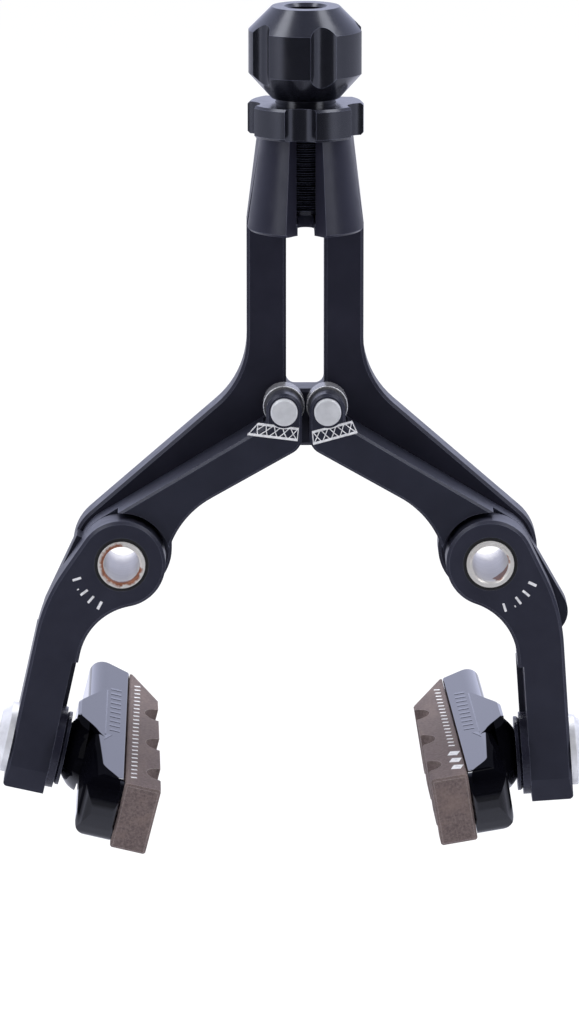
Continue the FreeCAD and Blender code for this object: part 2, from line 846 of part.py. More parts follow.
def pad_keeper(side):
    return shoe_placed(keeper_pin(keeper_sunk - holder_height / 2, -keeper_reach), side)


def pad_insert(side):
    back = holder_face_x() + slide_gap
    face = back + side["pad"]
    half = pad_height / 2
    length = pad_front + holder_rear
    body = slab([
        (back, -half, pad_edge), (back, half, pad_edge), (face, half, pad_edge), (face, -half, pad_edge),
    ], -pad_front, holder_rear)
    worn = block(face, face + 10, -pad_front - 5, holder_rear + 5, -pad_height, pad_height)
    worn.rotate(vec(face, -pad_front, 0), vec(0, 0, 1), math.degrees(math.atan(side["taper"] / length)))
    body = ease_plane(body, -pad_front, pad_end_chamfer).cut(pad_end_cut()).cut(worn)
    lip_x = holder_face_x() - channel_lip_depth
    neck_half = channel_lip_height / 2 - slide_gap
    tongue_half = channel_height / 2 - slide_gap
    start = slide_gap - channel_front
    end = face_end() - tongue_from_end
    neck = block(lip_x - 2 * slide_gap, back + 0.5, start, end, -neck_half, neck_half)
    tongue_x = holder_face_x() - channel_depth + slide_gap
    tongue = block(tongue_x, lip_x - slide_gap, start, end, -tongue_half, tongue_half)
    body = body.fuse(neck).fuse(tongue).cut(ball_on_x(ball_radius + assembly_gap))
    for step in range(pad_groove_count):
        middle = pad_groove_first + step * pad_groove_pitch
        worn_face = face - side["taper"] * (middle + pad_front) / length
        foot = vec(worn_face - pad_groove_depth + pad_groove_radius, middle, -pad_height)
        body = body.cut(Part.makeCylinder(pad_groove_radius, 2 * pad_height, foot, vec(0, 0, 1)))
    body = body.cut(keeper_pin(-half, keeper_end_gap - keeper_reach))
    return shoe_placed(body.removeSplitter(), side)


# Barrel adjuster and lock ring on the cable axis

# Upright cutters round the cable axis, at angles counted from the front towards the right.
def rim_cutters(count, first, rim_radius, cutter_radius, depth, z_from, z_to):
    distance = rim_radius - depth + cutter_radius
    cutters = []
    for step in range(count):
        angle = first + 360 / count * step
        foot = vec(distance * sin(angle), cable_y - distance * cos(angle), z_from)
        cutters.append(Part.makeCylinder(cutter_radius, z_to - z_from, foot, vec(0, 0, 1)))
    return cutters


# Ridges of the thread on the stem, as rings from the tip up to the top of the head.
def thread_ridges():
    first = stem_bottom + stem_chamfer
    count = int((head_top - first) / thread_pitch)
    points = []
    for step in range(count):
        crest = first + step * thread_pitch
        points.append((stem_radius, crest))
        points.append((stem_radius - thread_depth, crest + thread_pitch / 2))
    return points + [(stem_radius, first + count * thread_pitch)]


def barrel_adjuster():
    body = turned([
        (0, stem_bottom), (stem_radius - stem_chamfer, stem_bottom),
    ] + thread_ridges() + [
        (stem_radius, knob_bottom), (knob_foot_radius, knob_bottom), (knob_radius, band_bottom),
        (knob_radius, band_top), (knob_crown_radius, knob_top), (0, knob_top),
    ])
    bore_radius = housing_bore_diameter / 2
    cable_radius = cable_hole_diameter / 2
    seat_z = knob_top - housing_bore_depth
    mouth_z = knob_top - (knob_mouth_radius - bore_radius)
    bore = turned([
        (0, stem_bottom - 1), (cable_radius, stem_bottom - 1), (cable_radius, seat_z), (bore_radius, seat_z),
        (bore_radius, mouth_z), (knob_mouth_radius, knob_top), (0, knob_top),
    ])
    body = body.cut(bore)
    for cutter in rim_cutters(flute_count, flute_first, knob_radius, flute_radius, flute_depth,
                              knob_bottom - 1, knob_top + 1):
        body = body.cut(cutter)
    return body


def adjuster_lock_ring():
    rim = ring_radius - ring_chamfer
    hole = stem_radius + thread_clearance
    body = turned([
        (hole, ring_bottom), (rim, ring_bottom), (ring_radius, ring_bottom + ring_chamfer),
        (ring_radius, ring_top - ring_chamfer), (rim, ring_top), (hole, ring_top),
    ])
    for cutter in rim_cutters(scallop_count, scallop_first, ring_radius, scallop_radius, scallop_depth,
                              ring_bottom - 1, ring_top + 1):
        body = body.cut(cutter)
    return body


def side_pieces(side):
    lean = side["lean"]
    return {
        "cam_link": cam_link(side),
        "pad_arm": pad_arm(lean),
        "pivot_sleeve": pivot_sleeve(),
        "link_bush": bush(eye_front, link_rear),
        "pad_arm_bush": bush(arm_front, arm_rear),
        "cam_roller": cam_roller(),
        "roller_pin": roller_pin(),
        "arm_clamp_screw": arm_clamp_screw(lean),
        "shoe_nut": shoe_nut(lean),
        "shoe_post": shoe_post(lean),
        "flat_washer": flat_washer(lean),
        "dished_washer": dished_washer(lean),
        "shoe_holder": shoe_holder(side),
        "pad_keeper": pad_keeper(side),
        "pad_insert": pad_insert(side),
    }


pieces = {
    "stirrup_frame": stirrup_frame(),
    "barrel_adjuster": barrel_adjuster(),
    "adjuster_lock_ring": adjuster_lock_ring(),
    "left_return_spring": return_spring(False),
    "right_return_spring": return_spring(True),
}
for name, shape in side_pieces(left_side).items():
    pieces["left_" + name] = shape
for name, shape in side_pieces(right_side).items():
    pieces["right_" + name] = to_right(shape)

os.makedirs("parts", exist_ok=True)
for name, shape in pieces.items():
    shape.exportStep("parts/" + name + ".step")
    print(name, len(shape.Solids), shape.isValid(), round(shape.Volume, 1))
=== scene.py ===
import json
import math
import bpy
from mathutils import Matrix, Vector

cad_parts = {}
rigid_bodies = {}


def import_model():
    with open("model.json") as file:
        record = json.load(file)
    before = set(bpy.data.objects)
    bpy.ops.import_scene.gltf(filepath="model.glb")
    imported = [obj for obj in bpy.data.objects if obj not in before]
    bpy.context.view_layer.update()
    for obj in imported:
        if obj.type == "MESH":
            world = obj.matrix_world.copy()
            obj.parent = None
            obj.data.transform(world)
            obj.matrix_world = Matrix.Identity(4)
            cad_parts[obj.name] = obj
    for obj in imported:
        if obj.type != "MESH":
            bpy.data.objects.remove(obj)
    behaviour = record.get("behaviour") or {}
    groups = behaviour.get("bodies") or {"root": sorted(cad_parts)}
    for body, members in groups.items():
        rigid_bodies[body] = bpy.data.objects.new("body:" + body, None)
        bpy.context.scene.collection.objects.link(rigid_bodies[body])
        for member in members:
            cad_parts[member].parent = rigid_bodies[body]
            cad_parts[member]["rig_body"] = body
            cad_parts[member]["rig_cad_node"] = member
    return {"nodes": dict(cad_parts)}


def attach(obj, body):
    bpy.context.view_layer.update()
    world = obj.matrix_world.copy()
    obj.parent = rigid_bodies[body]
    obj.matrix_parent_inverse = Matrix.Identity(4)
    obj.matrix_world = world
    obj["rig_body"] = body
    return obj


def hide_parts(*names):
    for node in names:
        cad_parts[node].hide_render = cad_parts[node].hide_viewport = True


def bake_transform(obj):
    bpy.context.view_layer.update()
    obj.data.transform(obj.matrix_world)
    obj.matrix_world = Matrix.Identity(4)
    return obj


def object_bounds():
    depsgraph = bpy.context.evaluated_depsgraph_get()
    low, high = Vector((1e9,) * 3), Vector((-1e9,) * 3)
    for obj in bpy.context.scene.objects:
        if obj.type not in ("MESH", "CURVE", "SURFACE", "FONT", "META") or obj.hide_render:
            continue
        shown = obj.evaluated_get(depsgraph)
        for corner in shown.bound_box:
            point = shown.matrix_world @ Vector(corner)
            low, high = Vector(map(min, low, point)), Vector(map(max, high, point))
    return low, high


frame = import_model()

mm = 0.001
nodes = frame["nodes"]
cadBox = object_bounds()
print("frame loaded:", len(nodes), "nodes")

signOf = {"left": -1, "right": 1}
pivotX = 31.0               # half the distance between the mounting sleeves
pinPlace = (3.65, 25.7)     # X and Z of the right roller pin
mergeGap = 0.0005           # points closer than this are one


def inMetres(values):
    return [value * mm for value in values]


def pinSpot(side, depth):   # a point on the roller pin's axis
    return (signOf[side] * pinPlace[0] * mm, depth * mm, pinPlace[1] * mm)


# the shoe's own frame, its middle at the ball of the post

shoeFrame = {
    "post": (4.45, -15.3, -34.5),   # from the sleeve, on an arm that hangs straight down
    "left": {"lean": 12.5, "roll": 1.4, "pitch": 7.2, "toe": -1.5},
    "right": {"lean": 3.9, "roll": 5.2, "pitch": 5.0, "toe": 2.3},
}


def turnBy(angle, axis):
    return Matrix.Rotation(math.radians(angle), 4, axis)


def shoePlace(side):   # as if on the left, the right one is mirrored from it
    setting = shoeFrame[side]
    place = Matrix.Translation((-pivotX * mm, 0, 0)) @ turnBy(setting["lean"], "Y")
    place = place @ Matrix.Translation(inMetres(shoeFrame["post"])) @ turnBy(setting["roll"], "Y")
    return place @ turnBy(setting["pitch"], "X") @ turnBy(-setting["toe"], "Z")


def shoeMatrix(side):
    place = shoePlace(side)
    return Matrix.Scale(-1, 4, (1, 0, 0)) @ place if side == "right" else place


# small helpers for node trees

noiseBand = (0.3, 0.7)   # nearly all of a noise lies between these


def startMaterial(name):
    mat = bpy.data.materials.new(name)
    mat.use_nodes = True
    tree = mat.node_tree
    shader = tree.nodes["Principled BSDF"]
    place = tree.nodes.new("ShaderNodeTexCoord")
    return mat, tree, shader, place.outputs["Object"]


def noiseOn(tree, place, scale, detail=3.0, rough=0.55, stretch=None):
    if stretch:
        mapping = tree.nodes.new("ShaderNodeMapping")
        mapping.inputs["Scale"].default_value = stretch
        tree.links.new(place, mapping.inputs["Vector"])
        place = mapping.outputs["Vector"]
    noise = tree.nodes.new("ShaderNodeTexNoise")
    noise.inputs["Scale"].default_value = scale
    noise.inputs["Detail"].default_value = detail
    noise.inputs["Roughness"].default_value = rough
    tree.links.new(place, noise.inputs["Vector"])
    return noise.outputs["Fac"]


def rampOn(tree, fac, stops):
    ramp = tree.nodes.new("ShaderNodeValToRGB")
    tree.links.new(fac, ramp.inputs["Fac"])
    band = ramp.color_ramp
    while len(band.elements) < len(stops):
        band.elements.new(0.5)
    for element, (spot, colour) in zip(band.elements, stops):
        element.position = spot
        element.color = (*colour, 1.0)
    return ramp.outputs["Color"]


def rangeOn(tree, fac, low, high, fromLow=0.0, fromHigh=1.0, kind="LINEAR"):
    node = tree.nodes.new("ShaderNodeMapRange")
    node.interpolation_type = kind
    node.inputs["From Min"].default_value = fromLow
    node.inputs["From Max"].default_value = fromHigh
    node.inputs["To Min"].default_value = low
    node.inputs["To Max"].default_value = high
    tree.links.new(fac, node.inputs["Value"])
    return node.outputs["Result"]


def mixColours(tree, fac, first, second):
    node = tree.nodes.new("ShaderNodeMix")
    node.data_type = "RGBA"
    tree.links.new(fac, node.inputs["Factor"])
    for socket, value in ((node.inputs[6], first), (node.inputs[7], second)):   # its colour sockets
        if isinstance(value, tuple):
            socket.default_value = (*value, 1.0)
        else:
            tree.links.new(value, socket)
    return node.outputs[2]


def mathOn(tree, operation, first, second):
    node = tree.nodes.new("ShaderNodeMath")
    node.operation = operation
    for socket, value in zip(node.inputs, (first, second)):
        if isinstance(value, (int, float)):
            socket.default_value = value
        else:
            tree.links.new(value, socket)
    return node.outputs["Value"]


def mixShaders(tree, fac, first, second, output):
    mixer = tree.nodes.new("ShaderNodeMixShader")
    tree.links.new(fac, mixer.inputs["Fac"])
    tree.links.new(first, mixer.inputs[1])
    tree.links.new(second, mixer.inputs[2])
    tree.links.new(mixer.outputs["Shader"], tree.nodes[output].inputs["Surface"])


def toneOn(tree, fac, low, high):
    return rampOn(tree, fac, [(noiseBand[0], low), (noiseBand[1], high)])


def dulled(tone, share):
    return tuple(share * c for c in tone)


def colourOn(tree, shader, colour):
    tree.links.new(colour, shader.inputs["Base Color"])


def roughOn(tree, shader, fac, low, high, band=noiseBand):
    tree.links.new(rangeOn(tree, fac, low, high, *band), shader.inputs["Roughness"])


def bumpOn(tree, shader, height, strength, distance):
    bump = tree.nodes.new("ShaderNodeBump")
    bump.inputs["Strength"].default_value = strength
    bump.inputs["Distance"].default_value = distance
    tree.links.new(height, bump.inputs["Height"])
    tree.links.new(bump.outputs["Normal"], shader.inputs["Normal"])


edgeLine = {"samples": 4, "full": 0.90, "none": 0.985}   # cosine of the rounded normal to the flat one


def edgeMask(tree, radius):
    soft = tree.nodes.new("ShaderNodeBevel")
    soft.samples = edgeLine["samples"]
    soft.inputs["Radius"].default_value = radius
    flat = tree.nodes.new("ShaderNodeNewGeometry")
    dot = tree.nodes.new("ShaderNodeVectorMath")
    dot.operation = "DOT_PRODUCT"
    tree.links.new(soft.outputs["Normal"], dot.inputs[0])
    tree.links.new(flat.outputs["Normal"], dot.inputs[1])
    return rangeOn(tree, dot.outputs["Value"], 1.0, 0.0, edgeLine["full"], edgeLine["none"])


spotEdge = {"waves": 900.0, "soft": 0.15}   # scale of the wandering edge, half the width of its fade


def spotMask(tree, place, spots, ragged):
    wave = mathOn(tree, "MULTIPLY", noiseOn(tree, place, spotEdge["waves"]), ragged * mm)
    soft = spotEdge["soft"] * mm
    whole = None
    for centre, radius in spots:
        node = tree.nodes.new("ShaderNodeVectorMath")
        node.operation = "DISTANCE"
        tree.links.new(place, node.inputs[0])
        node.inputs[1].default_value = inMetres(centre)
        far = mathOn(tree, "ADD", node.outputs["Value"], wave)
        edge = (radius + ragged / 2) * mm
        one = rangeOn(tree, far, 1.0, 0.0, edge - soft, edge + soft)
        whole = one if whole is None else mathOn(tree, "MAXIMUM", whole, one)
    return whole


# finishes

anodised = {
    "dark": (0.0160, 0.0160, 0.0265),
    "light": (0.0212, 0.0212, 0.0345),
    "cloud": 140.0,      # scale of the slow change from dark to light
    "smear": 420.0,      # scale of the change in roughness
    "roughLow": 0.28,
    "roughHigh": 0.38,
    "gloss": 0.30,       # specular level, the dyed skin reflects little head on
    "tint": (0.86, 0.89, 1.0, 1.0),
    "grain": 5200.0,     # blasted grain, about a fifth of a millimetre
    "rings": None,       # scale of the lathe's rings, which a turned piece has in place of the grain
    "ringStretch": (0.02, 0.02, 1.0),
    "grainBump": 0.10,
    "bumpDepth": 0.02 * mm,
    "edge": 0.14 * mm,   # width of the paler line along the edges, a painted highlight where the edges catch the light
    "edgeTone": (0.10, 0.105, 0.14),
}


def anodisedAlloy(name, look):
    mat, tree, shader, place = startMaterial(name)
    skin = toneOn(tree, noiseOn(tree, place, look["cloud"]), look["dark"], look["light"])
    smear = noiseOn(tree, place, look["smear"], detail=4.0)
    roughOn(tree, shader, smear, look["roughLow"], look["roughHigh"])
    shader.inputs["Specular IOR Level"].default_value = look["gloss"]
    shader.inputs["Specular Tint"].default_value = look["tint"]
    # the paler line along the edges is a painted highlight, mixed into the base colour
    rim = edgeMask(tree, look["edge"])
    colourOn(tree, shader, mixColours(tree, rim, skin, look["edgeTone"]))
    if look["rings"]:   # one height to a ring
        height = noiseOn(tree, place, look["rings"], detail=2.0, rough=0.5, stretch=look["ringStretch"])
    else:
        height = noiseOn(tree, place, look["grain"], detail=2.0, rough=0.6)
    bumpOn(tree, shader, height, look["grainBump"], look["bumpDepth"])
    return mat


steelLook = {
    "cloud": 500.0,
    "dull": 0.82,               # share of the tone in the duller patches
    "lines": 2600.0,            # scale of the fine lines left by turning
    "stretch": (1.0, 0.05, 1.0),
    "rough": (-0.06, 0.08),     # what the lines add to the roughness
    "bump": 0.12,
    "bumpDepth": 0.01 * mm,
}


def brightSteel(name, tone, rough, metal=1.0, **changes):   # metal is lower where the face is matt
    look = dict(steelLook, **changes)
    mat, tree, shader, place = startMaterial(name)
    cloud = noiseOn(tree, place, look["cloud"])
    colourOn(tree, shader, toneOn(tree, cloud, dulled(tone, look["dull"]), tone))
    lines = noiseOn(tree, place, look["lines"], detail=2.0, rough=0.6, stretch=look["stretch"])
    roughOn(tree, shader, lines, *(rough + change for change in look["rough"]))
    shader.inputs["Metallic"].default_value = metal
    bumpOn(tree, shader, lines, look["bump"], look["bumpDepth"])
    return mat


greasedSleeve = {
    "steel": (0.82, 0.80, 0.76),
    "dullSteel": (0.70, 0.675, 0.63),
    "turning": 2400.0,            # scale of the marks of turning
    "stretch": (0.1, 1.0, 0.1),
    "copper": (0.36, 0.140, 0.070),
    "copperDark": (0.20, 0.066, 0.034),
    "paste": 2600.0,              # scale of the grain in the grease
    "metal": (0.35, 0.15),        # clean, then greased
    "rough": (0.30, 0.42),
    "bump": 0.3,
    "bumpDepth": 0.05 * mm,
    "ragged": 1.0,                # how far the edge of a patch wanders
    "rim": 3.1,                   # distance of the smeared edge from the bore's axis
    "leftBands": (((172, 350, 12), 0.72, -20.8), ((100, 168, 12), 0.84, -20.7)),   # angles, radius, Y
    "rightSpots": (((33.2, -18.8, -2.1), 1.8), ((32.7, -20.2, -2.6), 0.9),         # middle, radius
                   ((33.9, -20.8, 0.4), 0.45), ((33.8, -20.8, 1.2), 0.40)),
}


def greaseAlongRim(angles, radius, depth):
    reach = greasedSleeve["rim"]
    ways = [math.radians(angle) for angle in range(*angles)]
    return [((reach * math.cos(way) - pivotX, depth, reach * math.sin(way)), radius) for way in ways]


def greasySteel(name, look, spots):
    mat, tree, shader, place = startMaterial(name)
    turning = noiseOn(tree, place, look["turning"], detail=2.0, rough=0.5, stretch=look["stretch"])
    metal = toneOn(tree, turning, look["dullSteel"], look["steel"])
    mask = spotMask(tree, place, spots, look["ragged"])
    paste = toneOn(tree, noiseOn(tree, place, look["paste"]), look["copperDark"], look["copper"])
    colourOn(tree, shader, mixColours(tree, mask, metal, paste))
    tree.links.new(rangeOn(tree, mask, *look["metal"]), shader.inputs["Metallic"])
    tree.links.new(rangeOn(tree, mask, *look["rough"]), shader.inputs["Roughness"])
    bumpOn(tree, shader, mask, look["bump"], look["bumpDepth"])
    return mat


bushLook = {
    "tone": (0.014, 0.014, 0.016),
    "dull": 0.7,
    "cloud": 300.0,
    "fine": 3800.0,
    "rough": (0.45, 0.57),
    "bump": 0.10,
    "bumpDepth": 0.02 * mm,
}


def darkPolymer(name, look):
    mat, tree, shader, place = startMaterial(name)
    cloud = noiseOn(tree, place, look["cloud"])
    colourOn(tree, shader, toneOn(tree, cloud, dulled(look["tone"], look["dull"]), look["tone"]))
    fine = noiseOn(tree, place, look["fine"], detail=2.0)
    roughOn(tree, shader, fine, *look["rough"])
    bumpOn(tree, shader, fine, look["bump"], look["bumpDepth"])
    return mat


hollow = {   # where the saddle falls away from the holder's top, in the shoe's frame; its reflection is taken away there as painted shade
    "far": (-6.4, 4.3, 5.5, -4.5),      # X at the far end, then how much it grows between two values of Y
    "middle": (0.9, -4.5, -17.0),       # how much it grows, and again from where to where
    "near": (3.2, -17.0, -24.0),
    "end": (-25.0, -24.2),              # Y at which it fades out
    "below": (-3.5, -1.5),              # Z under which it is glossy again
    "soft": 0.06,                       # half the width of its edge
    "gloss": 0.0,
    "coat": 0.03,
}


def hollowShadeMask(tree, place, side):
    mirror = tree.nodes.new("ShaderNodeMapping")
    mirror.inputs["Scale"].default_value = (-signOf[side], 1, 1)
    tree.links.new(place, mirror.inputs["Vector"])
    local = tree.nodes.new("ShaderNodeMapping")
    local.vector_type = "TEXTURE"
    local.inputs["Location"].default_value = shoePlace(side).to_translation()
    local.inputs["Rotation"].default_value = shoePlace(side).to_euler()
    tree.links.new(mirror.outputs["Vector"], local.inputs["Vector"])
    split = tree.nodes.new("ShaderNodeSeparateXYZ")
    tree.links.new(local.outputs["Vector"], split.inputs["Vector"])
    across, along, height = (split.outputs[axis] for axis in "XYZ")
    start, grow, first, last = inMetres(hollow["far"])
    limit = rangeOn(tree, along, start + grow, start, last, first, "SMOOTHSTEP")
    for stretch, kind in (("middle", "LINEAR"), ("near", "SMOOTHSTEP")):
        grow, first, last = inMetres(hollow[stretch])
        limit = mathOn(tree, "ADD", limit, rangeOn(tree, along, grow, 0.0, last, first, kind))
    soft = hollow["soft"] * mm
    inside = rangeOn(tree, mathOn(tree, "SUBTRACT", across, limit), 1.0, 0.0, -soft, soft)
    above = rangeOn(tree, height, 0.0, 1.0, *inMetres(hollow["below"]))
    behind = rangeOn(tree, along, 0.0, 1.0, *inMetres(hollow["end"]))
    return mathOn(tree, "MULTIPLY", mathOn(tree, "MULTIPLY", inside, above), behind)


glossLook = {
    "dull": 0.75,
    "cloud": 200.0,
    "dust": 900.0,
    "dustBand": (0.35, 0.75),
    "rough": (0.05, 0.13),
    "gloss": 0.5,
    "tint": (0.88, 0.90, 1.0, 1.0),
    "coat": 1.0,           # clear lacquer over the black
    "coatRough": 0.04,
    "peel": 520.0,         # slight orange peel of the paint
    "bump": 0.05,
    "bumpDepth": 0.04 * mm,
}


def glossBlack(name, tone, look, side=None):
    mat, tree, shader, place = startMaterial(name)
    cloud = noiseOn(tree, place, look["cloud"])
    colourOn(tree, shader, toneOn(tree, cloud, dulled(tone, look["dull"]), tone))
    dust = noiseOn(tree, place, look["dust"], detail=5.0, rough=0.65)
    roughOn(tree, shader, dust, *look["rough"], look["dustBand"])
    shader.inputs["Specular IOR Level"].default_value = look["gloss"]
    shader.inputs["Specular Tint"].default_value = look["tint"]
    shader.inputs["Coat Weight"].default_value = look["coat"]
    shader.inputs["Coat Roughness"].default_value = look["coatRough"]
    if side:   # reflection taken away in the hollow, where the sloping flank shows no sky: painted shade
        mask = hollowShadeMask(tree, place, side)
        for key, socket in (("gloss", "Specular IOR Level"), ("coat", "Coat Weight")):
            tree.links.new(rangeOn(tree, mask, look[key], hollow[key]), shader.inputs[socket])
    peel = noiseOn(tree, place, look["peel"], detail=1.0)
    bumpOn(tree, shader, peel, look["bump"], look["bumpDepth"])
    return mat


padLook = {
    "browns": ((0.28, (0.080, 0.057, 0.053)), (0.5, (0.142, 0.106, 0.100)), (0.78, (0.212, 0.168, 0.155))),
    "grit": 2300.0,
    "scuff": 190.0,
    "scuffStretch": (1.0, 0.45, 1.6),
    "scuffBand": (0.5, 0.72),
    "scuffShare": 0.55,
    "rubbed": (0.222, 0.162, 0.140),   # paler brown where it was scuffed
    # the pale line along the pad's edges is a painted highlight
    "edge": 0.20 * mm,
    "edgeTone": (0.46, 0.40, 0.37),
    "edgeShare": 0.55,
    "rough": (0.62, 0.85),
    "gloss": 0.35,
    "bump": 0.35,
    "bumpDepth": 0.05 * mm,
}


def padCompound(name, look):
    mat, tree, shader, place = startMaterial(name)
    grit = noiseOn(tree, place, look["grit"], detail=4.0, rough=0.65)
    ground = rampOn(tree, grit, look["browns"])
    scuff = noiseOn(tree, place, look["scuff"], detail=5.0, rough=0.6, stretch=look["scuffStretch"])
    mask = rangeOn(tree, scuff, 0.0, look["scuffShare"], *look["scuffBand"])
    rubbed = mixColours(tree, mask, ground, look["rubbed"])
    # painted highlight: the edges are paler in the base colour
    highlitEdge = mathOn(tree, "MULTIPLY", edgeMask(tree, look["edge"]), look["edgeShare"])
    colourOn(tree, shader, mixColours(tree, highlitEdge, rubbed, look["edgeTone"]))
    roughOn(tree, shader, grit, *look["rough"])
    shader.inputs["Specular IOR Level"].default_value = look["gloss"]
    bumpOn(tree, shader, grit, look["bump"], look["bumpDepth"])
    return mat


printLook = {
    "inks": ((0.25, (0.52, 0.52, 0.53)), (0.55, (0.80, 0.80, 0.80))),   # worn, then whole
    "wear": 1500.0,
    "rough": (0.5, 0.7),
    "bump": 0.1,
    "bumpDepth": 0.01 * mm,
}


def whitePrint(name, look):
    mat, tree, shader, place = startMaterial(name)
    wear = noiseOn(tree, place, look["wear"])
    colourOn(tree, shader, rampOn(tree, wear, look["inks"]))
    roughOn(tree, shader, wear, *look["rough"])
    bumpOn(tree, shader, wear, look["bump"], look["bumpDepth"])
    return mat


linkLook = dict(anodised, dark=(0.0200, 0.0210, 0.0325), light=(0.0250, 0.0264, 0.0405))
armLook = dict(anodised, dark=(0.0225, 0.0232, 0.0362), light=(0.0290, 0.0300, 0.0458))
knobLook = dict(anodised, dark=(0.0045, 0.0048, 0.0075), light=(0.0060, 0.0063, 0.0098),
                roughLow=0.17, roughHigh=0.23, gloss=1.0, grainBump=0.16, rings=2600.0)
# the roller's pale edge colour is a painted highlight along its front edge
rollerLook = dict(anodised, dark=(0.200, 0.200, 0.210), light=(0.262, 0.262, 0.274),
                  roughLow=0.20, roughHigh=0.28, gloss=0.6, edgeTone=(0.55, 0.55, 0.57))
washerLook = dict(anodised, roughLow=0.2, roughHigh=0.32, gloss=0.4)
holderTone = (0.0024, 0.0024, 0.0040)
leftGrease = [spot for band in greasedSleeve["leftBands"] for spot in greaseAlongRim(*band)]

frameBlack = anodisedAlloy("satinAnodisedFrame", anodised)
linkBlack = anodisedAlloy("satinAnodisedLink", linkLook)
armBlack = anodisedAlloy("satinAnodisedArm", armLook)
turnedBlack = anodisedAlloy("turnedAnodisedKnob", knobLook)
leftSleeve = greasySteel("greasedSleeveLeft", greasedSleeve, leftGrease)
rightSleeve = greasySteel("greasedSleeveRight", greasedSleeve, greasedSleeve["rightSpots"])
pinSteel = brightSteel("turnedPinSteel", (0.74, 0.75, 0.765), 0.50, 0.30, lines=3000.0, stretch=(1.0, 0.1, 1.0))
nutSteel = brightSteel("brightNutSteel", (0.92, 0.925, 0.94), 0.40, 0.35)
postSteel = brightSteel("blackPostSteel", (0.060, 0.060, 0.066), 0.36)
wireSteel = brightSteel("drawnSpringWire", (0.42, 0.42, 0.44), 0.30)
screwBlack = brightSteel("blackOxideScrew", (0.045, 0.045, 0.050), 0.42)
bushPolymer = darkPolymer("bushPolymer", bushLook)
rollerGrey = anodisedAlloy("greyRoller", rollerLook)
washerBlack = anodisedAlloy("blackWasher", washerLook)
leftHolder = glossBlack("glossBlackHolderLeft", holderTone, glossLook, "left")
rightHolder = glossBlack("glossBlackHolderRight", holderTone, glossLook, "right")
padBrown = padCompound("brownPadCompound", padLook)
printWhite = whitePrint("whitePrint", printLook)

finishOf = {   # by the node's name, with or without its side
    "stirrup_frame": frameBlack,
    "barrel_adjuster": turnedBlack,
    "adjuster_lock_ring": turnedBlack,
    "cam_link": linkBlack,
    "pad_arm": armBlack,
    "left_pivot_sleeve": leftSleeve,
    "right_pivot_sleeve": rightSleeve,
    "link_bush": bushPolymer,
    "pad_arm_bush": bushPolymer,
    "return_spring": wireSteel,
    "cam_roller": rollerGrey,
    "roller_pin": pinSteel,
    "arm_clamp_screw": screwBlack,
    "shoe_nut": nutSteel,
    "shoe_post": postSteel,
    "flat_washer": washerBlack,
    "dished_washer": washerBlack,
    "left_shoe_holder": leftHolder,
    "right_shoe_holder": rightHolder,
    "pad_keeper": screwBlack,
    "pad_insert": padBrown,
}

for name, node in nodes.items():
    base = name.replace("left_", "").replace("right_", "")
    node.data.materials.clear()
    node.data.materials.append(finishOf.get(name) or finishOf[base])
print("finishes set")


# small modelling helpers, all in edit mode as by hand

def clearPick():
    if bpy.context.object and bpy.context.object.mode != "OBJECT":
        bpy.ops.object.mode_set(mode="OBJECT")
    bpy.ops.object.select_all(action="DESELECT")


def pickOnly(piece):
    clearPick()
    piece.select_set(True)
    bpy.context.view_layer.objects.active = piece


def settle(piece, material):
    pickOnly(piece)
    bpy.ops.object.transform_apply(location=True, rotation=True, scale=True)
    bpy.ops.object.mode_set(mode="EDIT")
    bpy.ops.mesh.select_all(action="SELECT")
    bpy.ops.mesh.normals_make_consistent(inside=False)
    bpy.ops.object.mode_set(mode="OBJECT")
    piece.data.materials.clear()
    piece.data.materials.append(material)


def applyModifier(piece, modifier):
    pickOnly(piece)
    bpy.ops.object.modifier_apply(modifier=modifier.name)


def thicken(piece, thickness):
    body = piece.modifiers.new("body", "SOLIDIFY")
    body.thickness = thickness * mm
    body.offset = 0.0
    applyModifier(piece, body)


def mergeDoubles(piece):
    pickOnly(piece)
    bpy.ops.object.mode_set(mode="EDIT")
    bpy.ops.mesh.select_all(action="SELECT")
    bpy.ops.mesh.remove_doubles(threshold=mergeGap * mm)
    bpy.ops.object.mode_set(mode="OBJECT")


def copyOf(piece, name):
    pickOnly(piece)
    bpy.ops.object.duplicate()
    bpy.context.object.name = name
    return bpy.context.object


def joinAll(pieces, name):
    pickOnly(pieces[0])
    for piece in pieces:
        piece.select_set(True)
    bpy.ops.object.join()
    pieces[0].name = name
    return pieces[0]


# stage: floor, world, lights and camera

stageLook = {
    "floorBelow": 0.09,
    "floorSize": 12.0,
    "floorColour": (0.86, 0.86, 0.87),
    "floorCloud": 3.0,
    "floorDull": 0.985,
    "floorRough": 0.9,
    "floorShare": 0.88,               # glow in what is seen of the floor, the rest takes the shadow
    "floorWhite": 1.07,               # what the camera sees
    "floorDark": (0.03, -0.34),       # level in reflections, in front of this Y
    "floorPale": (0.45, -0.19),       # and behind this one
    "floorSide": (1.0, 0.80, 0.12, 0.42),   # level left and right of the dark wedge, its slope, its soft edge
    "floorFade": (0.6, 0.45, 0.80),         # share of that level that is left farther out, from where to where
    "mirrorTint": (0.90, 0.92, 1.10),
    "skyBright": (0.84, 0.88, 1.15),
    "skyFront": (0.025, 0.026, 0.035),
    "skyRise": 0.12,                  # how much a high direction counts as one behind
    "skyBand": (-0.45, 0.85),         # dark on the camera's side, bright behind
    "skyStrength": 1.0,
}
white = (1.0, 1.0, 1.0)

